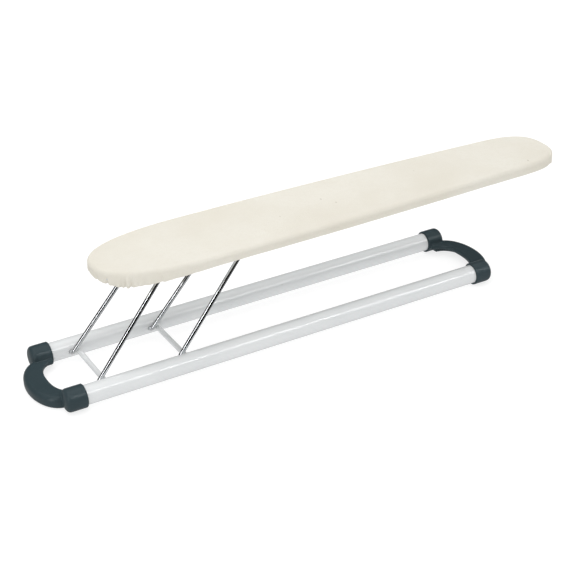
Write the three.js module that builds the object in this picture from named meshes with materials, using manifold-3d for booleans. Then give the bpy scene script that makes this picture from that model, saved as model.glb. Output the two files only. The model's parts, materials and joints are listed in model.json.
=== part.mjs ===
// Folding table-top sleeve ironing board.
// Two painted tubes joined by moulded grips carry two U-shaped wire legs, and the legs carry a
// narrow padded board. Millimetres, +Z up, +X along the board towards its free end.
// The origin is the middle of the object's footprint, on the surface that it stands on.

import * as THREE from 'three';
import { mergeVertices } from 'three/addons/utils/BufferGeometryUtils.js';
import Module from 'manifold-3d';

const wasm = await Module();
wasm.setup();

// ---------------------------------------------------------------- driving dimensions
// Base tubes
const tubeRadius = 11;
const tubeWall = 1.2;
const tubeSpacing = 101;
const rimToRim = 502;

// Moulded grips: two sleeves and the bow between them
const sleeveWall = 2;
const sleeveLength = 24;
const sleeveEndRound = 4;
const sleeveRimRound = 0.8;
const sleeveEndWall = 5;
const gripReach = 47.5;
const gripOpening = 22;
const bowHeight = 15;
const bowRound = 3.6;
const bowInset = 6.5;
const bowOverlap = 1.5;
const openingSquareness = 2.5;

// Grip screws, driven upwards through each sleeve into its tube
const screwFromRim = 10;
const screwRadius = 1.5;
const screwHeadRadius = 3;
const screwHeadHeight = 1.5;
const screwLength = 8;
const screwRecess = 0.5;

// Wire legs
const wireRadius = 2.5;
const legLength = 148;
const leanDegrees = 50;
const firstFoot = 21.5;
const footPitch = 96.5;
const footSideGap = 1.2;
const legTaper = 7.1;
const footBend = 4.5;
const topBend = 10;
const footInTube = 6;

// Cross stays that the leaning legs rest on
const stayRadius = 3;
const stayLift = 0.5;
const stayCollarRadius = 4.4;
const stayCollarLength = 2;
const stayTenonRadius = 1.8;
const stayTenonInTube = 2;

// Board: pressed deck, felt pad and cotton cover
const boardLength = 606;
const noseAheadOfLeg = 79;
const boardHalfWidth = 56.3;
const tipTaper = 0.24;
const taperStart = 180;
const taperEase = 1.8;
const noseLength = 137;
const noseFullness = 2.4;
const tipLength = 66;
const tipFullness = 2.4;
const deckThickness = 1.2;
const deckRimDepth = 7.4;
const deckEdgeRound = 1;
const padThickness = 3.6;
const coverThickness = 0.8;
const coverRound = 4;
const hemWidth = 14;

// Steam holes in the deck
const steamHoleRadius = 4;
const steamHolePitch = 34;
const steamRowOffset = 26;
const steamEndMargin = 52;

// Clips that hold the legs' cross bars under the deck
const clipWidth = 12;
const clipOffset = 11;
const clipThickness = 1.2;
const clipFoot = 8.5;
const rivetRadius = 1.5;
const rivetHeadRadius = 3;
const rivetHeadHeight = 1.5;

// Clearances
const fitGap = 0.3;
const layGap = 0.1;

// How finely round shapes are faceted
const tubeSides = 36;
const sleeveSides = 32;
const seatSides = 16;
const staySides = 14;
const boreSides = 12;
const smallSides = 10;
const wireQuarterSteps = 3;
const bendSteps = 6;
const bowSteps = 16;
const noseSteps = 13;
const straightSteps = 8;
const tipSteps = 9;

// Cutting tools run past the face that they start from
const overcut = 1;

// ---------------------------------------------------------------- worked-out sizes
const lean = THREE.MathUtils.degToRad(leanDegrees);
const sleeveRadius = tubeRadius + fitGap + sleeveWall;
const socketDepth = sleeveLength - sleeveEndWall;
const axisHeight = sleeveRadius;
const tubeY = tubeSpacing / 2;
const innerFaceY = tubeY - tubeRadius;
const footHalfGap = innerFaceY - footSideGap - wireRadius;
const topHalfGap = footHalfGap - legTaper;
const legRise = legLength * Math.sin(lean);
const legReach = legLength * Math.cos(lean);
const feet = [firstFoot, firstFoot + footPitch];
const legTops = feet.map((foot) => foot + legReach);
const stayAhead = (wireRadius + stayRadius + fitGap + stayLift * Math.cos(lean)) / Math.sin(lean);
const deckUnder = legRise + wireRadius + fitGap;
const deckTop = deckUnder + deckThickness;
const padBottom = deckTop + layGap;
const padTop = padBottom + padThickness;
const coverTop = padTop + layGap + coverThickness;
const rimBottom = deckTop - deckRimDepth;
const hemBottom = rimBottom - layGap - coverThickness;
const noseX = legTops[0] - noseAheadOfLeg;
const tipX = noseX + boardLength;
const middleX = (tipX - gripReach) / 2;

// ---------------------------------------------------------------- finishes
const finish = (color, roughness, metalness = 0) =>
  new THREE.MeshStandardMaterial({ color, roughness, metalness });
const whitePaint = () => finish(0xe4e6e5, 0.3);
const greyPlastic = () => finish(0x3b464a, 0.5);
const chrome = () => finish(0xd8dadc, 0.08, 1);
const zincSteel = () => finish(0xb4b7ba, 0.35, 1);
const felt = () => finish(0xd9d6cd, 0.95);
const cotton = () => finish(0xe9e4d4, 0.9);

// ---------------------------------------------------------------- solids
function toSolid(geometry) {
  const bare = geometry.clone();
  bare.deleteAttribute('normal');
  bare.deleteAttribute('uv');
  const merged = mergeVertices(bare, 1e-4);
  const corners = Array.from(merged.index.array);
  const faces = [];
  for (let i = 0; i < corners.length; i += 3) {
    const [a, b, c] = corners.slice(i, i + 3);
    // A lathe's faces that touch its axis have lost a corner to the merge.
    if (a !== b && b !== c && c !== a) faces.push(a, b, c);
  }
  return new wasm.Manifold(new wasm.Mesh({
    numProp: 3,
    vertProperties: new Float32Array(merged.attributes.position.array),
    triVerts: new Uint32Array(faces),
  }));
}

function toGeometry(solid) {
  const mesh = solid.getMesh();
  const geometry = new THREE.BufferGeometry();
  geometry.setAttribute('position', new THREE.BufferAttribute(mesh.vertProperties, 3));
  geometry.setIndex(new THREE.BufferAttribute(mesh.triVerts, 1));
  geometry.computeVertexNormals();
  return geometry;
}

const join = (...geometries) =>
  toGeometry(geometries.map(toSolid).reduce((solid, other) => solid.add(other)));

const cut = (geometry, tools) =>
  toGeometry(tools.map(toSolid).reduce((solid, tool) => solid.subtract(tool), toSolid(geometry)));

// A solid turned about X or Z, from [radius, distance along the axis] pairs listed along +axis.
function turned(axis, profile, sides) {
  const points = profile.map(([radius, along]) => new THREE.Vector2(radius, along));
  const lathe = new THREE.LatheGeometry(points, sides);
  return axis === 'x' ? lathe.rotateZ(-Math.PI / 2) : lathe.rotateX(Math.PI / 2);
}

// Points along an arc, from one angle to another in degrees.
function arc([across, up], radius, fromDegrees, toDegrees, steps) {
  return Array.from({ length: steps + 1 }, (_, i) => {
    const angle = THREE.MathUtils.degToRad(fromDegrees + ((toDegrees - fromDegrees) * i) / steps);
    return [across + radius * Math.cos(angle), up + radius * Math.sin(angle)];
  });
}

// A flat shape from [x, y] pairs.
const flatShape = (points) => new THREE.Shape(points.map(([x, y]) => new THREE.Vector2(x, y)));

// A cylinder along Y or Z, from one place on that axis to another.
function drill(axis, radius, from, to, sides = boreSides) {
  const bit = new THREE.CylinderGeometry(radius, radius, to - from, sides);
  bit.translate(0, (from + to) / 2, 0);
  return axis === 'y' ? bit : bit.rotateX(Math.PI / 2);
}

// A path whose steps fall on its own points, so that straight stretches need none between.
class PointPath extends THREE.Curve {
  constructor(points) {
    super();
    this.points = points;
  }

  getPointAt(u) {
    const place = u * (this.points.length - 1);
    const i = Math.min(Math.floor(place + 1e-9), this.points.length - 2);
    return this.points[i].clone().lerp(this.points[i + 1], place - i);
  }

  getTangentAt(u) {
    const last = this.points.length - 1;
    const i = Math.round(u * last);
    const here = this.points[i];
    const arriving = here.clone().sub(this.points[Math.max(i - 1, 0)]).normalize();
    const leaving = this.points[Math.min(i + 1, last)].clone().sub(here).normalize();
    return arriving.add(leaving).normalize();
  }
}

// A round wire through the corners, each inner corner bent to its own radius.
function bentWire(corners, bends, radius) {
  const points = [corners[0]];
  bends.forEach((bend, n) => {
    const corner = corners[n + 1];
    const back = corners[n].clone().sub(corner).normalize();
    const onward = corners[n + 2].clone().sub(corner).normalize();
    const halfAngle = back.angleTo(onward) / 2;
    const inwards = back.clone().add(onward).normalize();
    const centre = inwards.multiplyScalar(bend / Math.sin(halfAngle)).add(corner);
    const start = corner.clone().addScaledVector(back, bend / Math.tan(halfAngle)).sub(centre);
    const axis = onward.clone().cross(back).normalize();
    for (let k = 0; k <= bendSteps; k += 1) {
      const turn = ((Math.PI - 2 * halfAngle) * k) / bendSteps;
      points.push(start.clone().applyAxisAngle(axis, turn).add(centre));
    }
  });
  points.push(corners.at(-1));
  const section = new THREE.Shape().absarc(0, 0, radius, 0, 2 * Math.PI);
  return new THREE.ExtrudeGeometry(section, {
    steps: points.length - 1,
    curveSegments: 2 * wireQuarterSteps,
    extrudePath: new PointPath(points),
  });
}

// A closed body through rings of equal point count, from its top cap round to its bottom cap.
function ringBody(rings) {
  const count = rings[0].length;
  const index = [];
  for (let k = 0; k + 1 < rings.length; k += 1) {
    for (let i = 0; i < count; i += 1) {
      const a = k * count + i;
      const b = k * count + ((i + 1) % count);
      index.push(a, a + count, b, b, a + count, b + count);
    }
  }
  const capFaces = THREE.ShapeUtils.triangulateShape(
    rings[0].map(([x, y]) => new THREE.Vector2(x, y)), []);
  const lastStart = (rings.length - 1) * count;
  for (const [a, b, c] of capFaces) {
    index.push(a, b, c, lastStart + a, lastStart + c, lastStart + b);
  }
  const geometry = new THREE.BufferGeometry();
  geometry.setAttribute('position', new THREE.Float32BufferAttribute(rings.flat(2), 3));
  geometry.setIndex(index);
  geometry.computeVertexNormals();
  return geometry;
}

// ---------------------------------------------------------------- assembly
const ironingBoard = new THREE.Group();

// Pieces are placed from the near grip's rims and the tubes' axes, then moved as one.
const frame = new THREE.Group();
frame.position.set(-middleX, 0, axisHeight);
ironingBoard.add(frame);

function place(name, geometry, material, x = 0, y = 0, z = 0) {
  const mesh = new THREE.Mesh(geometry, material);
  mesh.name = name;
  mesh.position.set(x, y, z);
  frame.add(mesh);
  return mesh;
}

const sides = [['front', -1], ['rear', 1]];
const ends = [['near', 0, 1], ['far', rimToRim, -1]];
const legs = ['near', 'far'];

// ---------------------------------------------------------------- base tubes
// Each tube is bored on its inner side for the legs and the stays, and below for the screws.
function tubeGeometry(side) {
  const inSocket = socketDepth - fitGap;
  const innerRadius = tubeRadius - tubeWall;
  const tube = turned('x', [
    [innerRadius, -inSocket],
    [tubeRadius, -inSocket],
    [tubeRadius, rimToRim + inSocket],
    [innerRadius, rimToRim + inSocket],
    [innerRadius, -inSocket],
  ], tubeSides);
  const throughWall = [0, tubeRadius + overcut].map((y) => -side * y).sort((a, b) => a - b);
  const bores = feet.flatMap((foot) => [
    drill('y', wireRadius + fitGap, ...throughWall).translate(foot, 0, 0),
    drill('y', stayTenonRadius + fitGap, ...throughWall).translate(foot + stayAhead, 0, stayLift),
  ]);
  const screwBores = ends.map(([, rimX, inward]) =>
    drill('z', screwRadius + fitGap, -tubeRadius - overcut, 0)
      .translate(rimX - inward * screwFromRim, 0, 0));
  return cut(tube, [...bores, ...screwBores]);
}

for (const [side, sign] of sides) {
  place(`${side}_tube`, tubeGeometry(sign), whitePaint(), 0, sign * tubeY, 0);
}

// ---------------------------------------------------------------- grips
// The screw's seat: a recess, a cone for the head and a way through for the thread.
function screwSeat() {
  const headAt = -sleeveRadius + screwRecess;
  const headRadius = screwHeadRadius + fitGap;
  const threadRadius = screwRadius + fitGap;
  return turned('z', [
    [0, -sleeveRadius - overcut],
    [headRadius, -sleeveRadius - overcut],
    [headRadius, headAt],
    [threadRadius, headAt + screwHeadHeight],
    [threadRadius, -tubeRadius + overcut],
    [0, -tubeRadius + overcut],
  ], seatSides);
}

// A sleeve's rim is at x = 0 and its closed end points along -X.
function sleeveGeometry() {
  const closedAt = -sleeveLength + sleeveEndRound;
  return turned('x', [
    [0, -sleeveLength],
    ...arc([sleeveRadius - sleeveEndRound, closedAt], sleeveEndRound, -90, 0, 4),
    ...arc([sleeveRadius - sleeveRimRound, -sleeveRimRound], sleeveRimRound, 0, 90, 2),
    [0, 0],
  ], sleeveSides);
}

// A point on a rounded-square curve, a quarter turn of which goes from one half-axis to the other.
function roundedSquare(halfX, halfY, squareness, angle) {
  const bulge = (value) => Math.sign(value) * Math.abs(value) ** (2 / squareness);
  return [-halfX * bulge(Math.cos(angle)), halfY * bulge(Math.sin(angle))];
}

// The bow lies low between the sleeves: an outer arc, and an inner edge that frames the hand hole.
function bowGeometry() {
  const inSleeve = -sleeveLength + sleeveEndRound;
  const outerHalf = tubeY - bowInset;
  const innerHalf = tubeY - sleeveRadius + bowOverlap;
  const sweep = (i) => (i / bowSteps - 0.5) * Math.PI;
  const outer = Array.from({ length: bowSteps + 1 }, (_, i) => {
    const [x, y] = roundedSquare(gripReach + inSleeve, outerHalf, 2, sweep(i));
    return [x + inSleeve, y];
  });
  const inner = Array.from({ length: bowSteps - 1 }, (_, i) =>
    roundedSquare(gripOpening, innerHalf, openingSquareness, -sweep(i + 1)));
  const rootX = -sleeveRimRound - bowRound;
  const shape = flatShape([
    ...outer,
    [rootX, tubeY],
    ...inner,
    [rootX, -tubeY],
  ]);
  const bow = new THREE.ExtrudeGeometry(shape, {
    depth: bowHeight - 2 * bowRound,
    steps: 1,
    bevelThickness: bowRound,
    bevelSize: bowRound,
    bevelOffset: -bowRound,
    bevelSegments: 2,
  });
  return bow.translate(0, 0, bowRound - sleeveRadius);
}

function gripGeometry() {
  const sleeves = sides.map(([, sign]) => sleeveGeometry().translate(0, sign * tubeY, 0));
  const tools = sides.flatMap(([, sign]) => [
    turned('x', [
      [0, -socketDepth],
      [tubeRadius + fitGap, -socketDepth],
      [tubeRadius + fitGap, overcut],
      [0, overcut],
    ], tubeSides).translate(0, sign * tubeY, 0),
    screwSeat().translate(-screwFromRim, sign * tubeY, 0),
  ]);
  return cut(join(bowGeometry(), ...sleeves), tools);
}

function screwGeometry() {
  const headAt = -sleeveRadius + screwRecess;
  return turned('z', [
    [0, headAt],
    [screwHeadRadius, headAt],
    [screwRadius, headAt + screwHeadHeight],
    [screwRadius, headAt + screwLength - screwRadius],
    [0, headAt + screwLength],
  ], smallSides);
}

for (const [end, rimX, inward] of ends) {
  const grip = gripGeometry();
  if (inward < 0) grip.rotateZ(Math.PI);
  place(`${end}_grip`, grip, greyPlastic(), rimX);
  for (const [side, sign] of sides) {
    const x = rimX - inward * screwFromRim;
    place(`${end}_${side}_screw`, screwGeometry(), zincSteel(), x, sign * tubeY, 0);
  }
}

// ---------------------------------------------------------------- cross stays
// A bar welded between the tubes: collars against their walls, and tenons into their bores.
function stayGeometry() {
  const faceY = innerFaceY - fitGap;
  const tenonY = innerFaceY + tubeWall + stayTenonInTube;
  const half = [
    [stayRadius, faceY - stayCollarLength],
    [stayCollarRadius, faceY - stayCollarLength / 2],
    [stayCollarRadius, faceY],
    [stayTenonRadius, faceY],
    [stayTenonRadius, tenonY],
    [0, tenonY],
  ];
  const mirrored = half.map(([radius, along]) => [radius, -along]).reverse();
  return turned('z', [...mirrored, ...half], staySides).rotateX(-Math.PI / 2);
}

legs.forEach((leg, n) => {
  place(`${leg}_stay`, stayGeometry(), whitePaint(), feet[n] + stayAhead, 0, stayLift);
});

// ---------------------------------------------------------------- wire legs
// A leg's feet turn outwards into the tubes, and its cross bar is held under the board.
function legGeometry() {
  const onLeg = (along, y) => new THREE.Vector3(along * Math.cos(lean), y, along * Math.sin(lean));
  const footEnd = innerFaceY + tubeWall + footInTube;
  const corners = [
    onLeg(0, -footEnd),
    onLeg(0, -footHalfGap),
    onLeg(legLength, -topHalfGap),
    onLeg(legLength, topHalfGap),
    onLeg(0, footHalfGap),
    onLeg(0, footEnd),
  ];
  return bentWire(corners, [footBend, topBend, topBend, footBend], wireRadius);
}

legs.forEach((leg, n) => place(`${leg}_leg`, legGeometry(), chrome(), feet[n]));

// ---------------------------------------------------------------- board outline
// Half the cover's width at a distance from the nose: full nose, gentle taper, blunt tip.
function halfWidth(fromNose) {
  const nose = Math.max(1 - fromNose / noseLength, 0);
  const tip = Math.max(1 - (boardLength - fromNose) / tipLength, 0);
  const along = Math.max((fromNose - taperStart) / (boardLength - taperStart), 0);
  return boardHalfWidth * (1 - tipTaper * along ** taperEase)
    * (1 - nose ** noseFullness) ** (1 / noseFullness)
    * (1 - tip ** tipFullness) ** (1 / tipFullness);
}

// Distances from the nose, crowded where the outline turns.
function outlineStations() {
  const crowded = (steps) => Array.from({ length: steps }, (_, i) =>
    1 - Math.cos((i / steps) * (Math.PI / 2)));
  const straight = boardLength - noseLength - tipLength;
  return [
    ...crowded(noseSteps).map((share) => noseLength * share),
    ...Array.from({ length: straightSteps + 1 }, (_, i) =>
      noseLength + (straight * i) / straightSteps),
    ...crowded(tipSteps).map((share) => boardLength - tipLength * share).reverse(),
  ];
}

// The outline as a ring of [x, y] points seen anticlockwise from above, moved inwards by an inset.
function outline(inset) {
  const stations = outlineStations();
  const upper = stations.map((s) => [noseX + s, halfWidth(s)]);
  const lower = stations.slice(1, -1).map((s) => [noseX + s, -halfWidth(s)]);
  const ring = [...lower, ...upper.reverse()];
  return ring.map(([x, y], i) => {
    const before = ring.at(i - 1);
    const after = ring[(i + 1) % ring.length];
    const [alongX, alongY] = [after[0] - before[0], after[1] - before[1]];
    const length = Math.hypot(alongX, alongY);
    return [x - (alongY / length) * inset, y + (alongX / length) * inset];
  });
}

// A body whose section, from [inset, height] pairs, follows the outline.
const outlineBody = (section) =>
  ringBody(section.map(([inset, z]) => outline(inset).map(([x, y]) => [x, y, z])));

// ---------------------------------------------------------------- deck
// Where the rivets go, seen from a leg's cross bar: ahead of it and behind it.
const rivetReach = wireRadius + fitGap + clipThickness + clipFoot / 2;
const rivetPlaces = [['ahead', rivetReach], ['behind', -rivetReach]];

function steamHoles() {
  const holes = [];
  const rows = [[-steamRowOffset, 0], [0, steamHolePitch / 2], [steamRowOffset, 0]];
  const clearOfLegs = rivetReach + clipFoot / 2 + steamHoleRadius;
  for (const [y, shift] of rows) {
    for (let x = noseX + steamEndMargin + shift; x < tipX - steamEndMargin; x += steamHolePitch) {
      if (legTops.every((top) => Math.abs(x - top) > clearOfLegs)) holes.push([x, y]);
    }
  }
  return holes.map(([x, y]) => drill('z', steamHoleRadius, deckUnder - overcut, deckTop + overcut,
    smallSides).translate(x, y, 0));
}

function deckGeometry() {
  const outside = coverThickness + layGap;
  const inside = outside + deckThickness;
  const tray = outlineBody([
    [outside + deckEdgeRound, deckTop],
    [outside, deckTop - deckEdgeRound],
    [outside, rimBottom],
    [inside, rimBottom],
    [inside, deckUnder - deckEdgeRound],
    [inside + deckEdgeRound, deckUnder],
  ]);
  const rivetHoles = legTops.flatMap((top) => rivetPlaces.flatMap(([, reach]) =>
    sides.map(([, sign]) =>
      drill('z', rivetRadius + fitGap, deckUnder - overcut, deckTop + overcut)
        .translate(top + reach, sign * clipOffset, 0))));
  return cut(tray, [...steamHoles(), ...rivetHoles]);
}

place('deck', deckGeometry(), whitePaint());

// ---------------------------------------------------------------- leg clips and rivets
// A strap under the deck that wraps the leg's cross bar, seen from the bar's axis.
function clipGeometry() {
  const within = wireRadius + fitGap;
  const around = within + clipThickness;
  const strapTop = within - layGap;
  const strapUnder = strapTop - clipThickness;
  const reach = around + clipFoot;
  const shape = flatShape([
    [-reach, strapUnder],
    [-around, strapUnder],
    ...arc([0, 0], around, 180, 360, 8),
    [around, strapUnder],
    [reach, strapUnder],
    [reach, strapTop],
    [within, strapTop],
    ...arc([0, 0], within, 360, 180, 8),
    [-within, strapTop],
    [-reach, strapTop],
  ]);
  const strap = new THREE.ExtrudeGeometry(shape, { depth: clipWidth, bevelEnabled: false });
  strap.rotateX(Math.PI / 2).translate(0, clipWidth / 2, 0);
  const holes = rivetPlaces.map(([, at]) =>
    drill('z', rivetRadius + fitGap, strapUnder - overcut, strapTop + overcut).translate(at, 0, 0));
  return cut(strap, holes);
}

function rivetGeometry() {
  const headTop = wireRadius + fitGap - layGap - clipThickness - layGap;
  const shankTop = wireRadius + fitGap + deckThickness - layGap;
  const dome = Array.from({ length: 4 }, (_, i) => {
    const angle = (i / 3) * (Math.PI / 2);
    return [rivetHeadRadius * Math.sin(angle), headTop - rivetHeadHeight * Math.cos(angle)];
  });
  return turned('z', [...dome, [rivetRadius, headTop], [rivetRadius, shankTop], [0, shankTop]],
    smallSides);
}

legs.forEach((leg, n) => {
  for (const [side, sign] of sides) {
    const y = sign * clipOffset;
    place(`${leg}_leg_${side}_clip`, clipGeometry(), zincSteel(), legTops[n], y, legRise);
    for (const [where, reach] of rivetPlaces) {
      const name = `${leg}_leg_${side}_rivet_${where}`;
      place(name, rivetGeometry(), zincSteel(), legTops[n] + reach, y, legRise);
    }
  }
});

// ---------------------------------------------------------------- pad and cover
const edgeCentre = [coverRound, coverTop - coverRound];

function padGeometry() {
  const padRound = coverRound - coverThickness - layGap;
  return outlineBody([
    ...arc(edgeCentre, padRound, 90, 180, 3),
    [coverThickness + layGap, padBottom],
  ]);
}

// The cover wraps the pad and the deck's rim, and its hem turns inwards under the rim.
function coverGeometry() {
  return outlineBody([
    ...arc(edgeCentre, coverRound, 90, 180, 3),
    [0, hemBottom + coverThickness],
    [coverThickness, hemBottom],
    [hemWidth, hemBottom],
    [hemWidth, hemBottom + coverThickness],
    [coverThickness, hemBottom + coverThickness],
    ...arc(edgeCentre, coverRound - coverThickness, 180, 90, 3),
  ]);
}

place('pad', padGeometry(), felt());
place('cover', coverGeometry(), cotton());

export default ironingBoard;
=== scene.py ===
import json
import math

import bmesh
import bpy
import numpy as np
from mathutils import Matrix, Vector, noise


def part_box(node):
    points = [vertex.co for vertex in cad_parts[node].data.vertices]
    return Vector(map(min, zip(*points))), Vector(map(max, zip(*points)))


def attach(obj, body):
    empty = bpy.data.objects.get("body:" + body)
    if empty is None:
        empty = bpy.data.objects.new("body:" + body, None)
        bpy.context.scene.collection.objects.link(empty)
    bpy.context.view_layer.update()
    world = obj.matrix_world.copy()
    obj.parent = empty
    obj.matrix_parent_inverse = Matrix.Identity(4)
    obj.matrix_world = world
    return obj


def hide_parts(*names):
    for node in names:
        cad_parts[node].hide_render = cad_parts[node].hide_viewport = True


# Folding table-top sleeve ironing board: painted tubes, moulded grips, chromed wire legs and a
# padded board in a cotton cover. Sizes are millimetres until a mesh is made, then metres.

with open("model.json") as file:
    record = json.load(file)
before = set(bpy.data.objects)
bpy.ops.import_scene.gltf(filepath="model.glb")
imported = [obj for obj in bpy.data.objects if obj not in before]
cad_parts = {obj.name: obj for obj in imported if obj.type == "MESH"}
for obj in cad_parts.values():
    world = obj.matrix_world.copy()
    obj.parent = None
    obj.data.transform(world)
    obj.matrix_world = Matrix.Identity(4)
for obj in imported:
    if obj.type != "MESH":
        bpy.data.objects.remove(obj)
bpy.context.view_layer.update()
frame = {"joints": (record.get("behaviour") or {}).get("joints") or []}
MM = 0.001
SEED = 7


# ---------------------------------------------------------------- places from the frame
def box_mm(node):
    low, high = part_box(node)
    return np.array(low) / MM, np.array(high) / MM


JOINT_AT = {j["name"]: np.array(j["pos_m"]) / MM for j in frame["joints"]}
FEET = [JOINT_AT["near_leg_fold"], JOINT_AT["far_leg_fold"]]
LEG_TOPS = [JOINT_AT["board_level"], JOINT_AT["board_level"] + FEET[1] - FEET[0]]
LEG_LENGTH = float(np.linalg.norm(LEG_TOPS[0] - FEET[0]))
LEAN = math.atan2(LEG_TOPS[0][2] - FEET[0][2], LEG_TOPS[0][0] - FEET[0][0])

TUBE_LOW, TUBE_HIGH = box_mm("rear_tube")
TUBE_RADIUS = (TUBE_HIGH[2] - TUBE_LOW[2]) / 2
TUBE_Y = (TUBE_HIGH[1] + TUBE_LOW[1]) / 2
AXIS_Z = (TUBE_HIGH[2] + TUBE_LOW[2]) / 2
GRIP_LOW, GRIP_HIGH = box_mm("near_grip")
NEAR_RIM = GRIP_HIGH[0]
FAR_RIM = box_mm("far_grip")[0][0]
SLEEVE_RADIUS = GRIP_HIGH[1] - TUBE_Y
GRIP_REACH = NEAR_RIM - GRIP_LOW[0]
STAY_X = [float(sum(box_mm(stay)[k][0] for k in (0, 1)) / 2) for stay in ("near_stay", "far_stay")]
STAY_Z = float(sum(box_mm("near_stay")[k][2] for k in (0, 1)) / 2)
COVER_LOW, COVER_HIGH = box_mm("cover")
DECK_LOW, DECK_HIGH = box_mm("deck")
NOSE_DRAWN_IN = 2.6
NOSE_X, TIP_X = COVER_LOW[0] + NOSE_DRAWN_IN, COVER_HIGH[0]
COVER_TOP, HEM_BOTTOM = COVER_HIGH[2], COVER_LOW[2]
BOARD_LENGTH = TIP_X - NOSE_X
BOARD_HALF = COVER_HIGH[1]
DECK_TOP = DECK_HIGH[2]

# ---------------------------------------------------------------- driving sizes of the pieces
FIT_GAP = 0.3
LAY_GAP = 0.1
TUBE_WALL = 1.2
SLEEVE_LENGTH = 24.0
SLEEVE_END_ROUND = 4.0
SLEEVE_RIM_ROUND = 0.8
SLEEVE_END_WALL = 5.0
SOCKET_DEPTH = SLEEVE_LENGTH - SLEEVE_END_WALL
BOW_HEIGHT = 15.0
BOW_INSET = 6.5
GRIP_OPENING = 22.0
SCREW_FROM_RIM = 10.0
SCREW_RADIUS = 1.5
SCREW_HEAD_RADIUS = 3.0
SCREW_HEAD_HEIGHT = 1.5
SCREW_LENGTH = 8.0
SCREW_RECESS = 0.5
WIRE_RADIUS = 2.5
FOOT_SIDE_GAP = 1.2
LEG_TAPER = 7.1
FOOT_BEND = 4.5
TOP_BEND = 10.0
FOOT_IN_TUBE = 6.0
STAY_RADIUS = 3.0
STAY_COLLAR_RADIUS = 4.4
STAY_COLLAR_LENGTH = 2.0
WELD_LENGTH = 1.6 * STAY_COLLAR_LENGTH
STAY_TENON_RADIUS = 1.8
STAY_TENON_IN_TUBE = 2.0
TIP_TAPER = 0.24
TAPER_START = 180.0
TAPER_EASE = 1.8
NOSE_LENGTH = 137.0
NOSE_FULLNESS = 2.5
TIP_LENGTH = 66.0
TIP_FULLNESS = 2.8
DECK_THICKNESS = 1.2
DECK_EDGE_ROUND = 1.0
PAD_THICKNESS = 3.6
COVER_THICKNESS = 0.8
COVER_ROUND = 4.5
HEM_WIDTH = 14.0
RIM_TRIM = 2.2
STEAM_HOLE_RADIUS = 4.0
STEAM_HOLE_PITCH = 34.0
STEAM_ROW_OFFSET = 26.0
STEAM_END_MARGIN = 52.0
CLIP_WIDTH = 12.0
CLIP_OFFSET = 11.0
CLIP_THICKNESS = 1.2
CLIP_FOOT = 8.5
RIVET_RADIUS = 1.5
RIVET_HEAD_RADIUS = 3.0
RIVET_HEAD_HEIGHT = 1.5

TUBE_SIDES = 96
BOARD_COLUMNS = 480

DECK_UNDER = DECK_TOP - DECK_THICKNESS
INNER_FACE_Y = TUBE_Y - TUBE_RADIUS
FOOT_HALF_GAP = INNER_FACE_Y - FOOT_SIDE_GAP - WIRE_RADIUS
TOP_HALF_GAP = FOOT_HALF_GAP - LEG_TAPER
RIVET_REACH = WIRE_RADIUS + FIT_GAP + CLIP_THICKNESS + CLIP_FOOT / 2
SIDES = (("front", -1), ("rear", 1))


# ---------------------------------------------------------------- node helpers
class Tree:
    """Adds nodes to a shader tree, so that a material reads as its own few lines."""

    def __init__(self, node_tree):
        self.nodes = node_tree.nodes
        self.links = node_tree.links

    def set(self, node, socket, value):
        if isinstance(value, bpy.types.NodeSocket):
            self.links.new(value, node.inputs[socket])
        else:
            node.inputs[socket].default_value = value

    def add(self, kind, inputs=()):
        node = self.nodes.new(kind)
        for socket, value in dict(inputs).items():
            self.set(node, socket, value)
        return node

    def math(self, operation, *values):
        node = self.nodes.new("ShaderNodeMath")
        node.operation = operation
        for place, value in enumerate(values):
            self.set(node, place, value)
        return node.outputs[0]

    def rise(self, value, start, end):
        """0 below start, 1 above end, smooth between."""
        node = self.add("ShaderNodeMapRange", {"Value": value, "From Min": start, "From Max": end})
        node.interpolation_type = "SMOOTHSTEP"
        return node.outputs[0]

    def mix_color(self, factor, a, b):
        node = self.nodes.new("ShaderNodeMix")
        node.data_type = "RGBA"
        for place, value in ((0, factor), (6, a), (7, b)):
            self.set(node, place, value)
        return node.outputs[2]

    def noise(self, vector, scale, detail=2.0, roughness=0.5):
        return self.add("ShaderNodeTexNoise", {"Vector": vector, "Scale": scale, "Detail": detail,
                                               "Roughness": roughness}).outputs["Fac"]

    def stretch(self, vector, scale, turn=0.0):
        return self.add("ShaderNodeMapping", {"Vector": vector, "Scale": scale,
                                              "Rotation": (0, 0, turn)}).outputs["Vector"]

    def bump(self, height, strength, distance):
        return self.add("ShaderNodeBump", {"Height": height, "Strength": strength,
                                           "Distance": distance}).outputs["Normal"]

    def group(self, group, inputs):
        node = self.nodes.new("ShaderNodeGroup")
        node.node_tree = group
        for socket, value in inputs.items():
            self.set(node, socket, value)
        return node.outputs

    def own_place(self):
        return self.add("ShaderNodeTexCoord").outputs["Object"]


def rgba(red, green, blue):
    return (red, green, blue, 1.0)


FLOAT, COLOR, VECTOR = "NodeSocketFloat", "NodeSocketColor", "NodeSocketVector"


def new_group(name, inputs, outputs):
    """An empty shader group with named sockets, and the sockets inside it."""
    group = bpy.data.node_groups.new(name, "ShaderNodeTree")
    for socket, kind, value in inputs:
        made = group.interface.new_socket(socket, in_out="INPUT", socket_type=kind)
        if value is not None:
            made.default_value = value
    for socket, kind in outputs:
        group.interface.new_socket(socket, in_out="OUTPUT", socket_type=kind)
    given = group.nodes.new("NodeGroupInput").outputs
    wanted = group.nodes.new("NodeGroupOutput").inputs
    return group, Tree(group), given, wanted


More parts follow.
